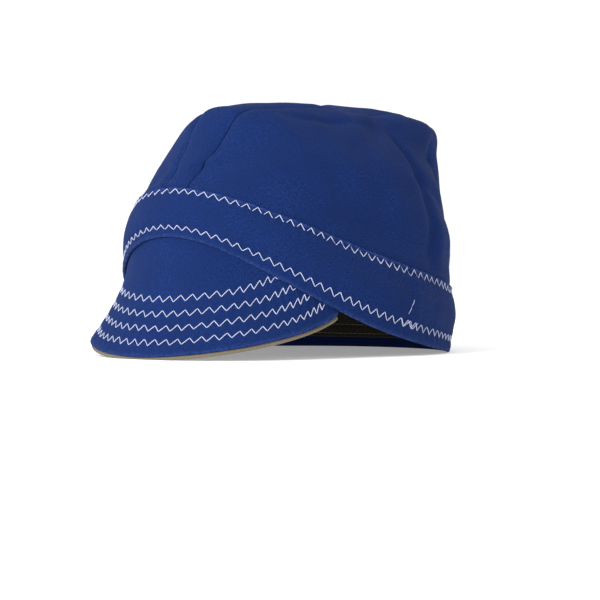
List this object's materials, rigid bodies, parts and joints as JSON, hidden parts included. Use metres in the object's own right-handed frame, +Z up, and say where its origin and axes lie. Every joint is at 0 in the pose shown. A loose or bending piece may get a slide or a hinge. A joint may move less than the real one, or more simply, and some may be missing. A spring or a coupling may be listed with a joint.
{
  "type": "welding cap",
  "caption": "Soft cloth welding cap with a three-piece crown, a wide stitched band and a short curved peak that is lined underneath.",
  "frame": {"origin": "centre of the bounding box's bottom, on the surface that the cap rests on", "axes": "+Z up, -Y towards the peak, +X towards the wearer's left"},
  "size_m": [0.174, 0.2306, 0.1427],
  "materials": {
    "twill": "matt heavy cotton twill, royal blue",
    "lining_canvas": "matt ribbed khaki cotton",
    "sweatband_cotton": "matt dark olive-brown cotton"
  },
  "bodies": {
    "root": {"crown_strip": "twill", "crown_side_left": "twill", "crown_side_right": "twill", "band": "twill", "sweatband": "sweatband_cotton", "peak_cover": "twill", "peak_lining": "lining_canvas"}
  },
  "joints": []
}
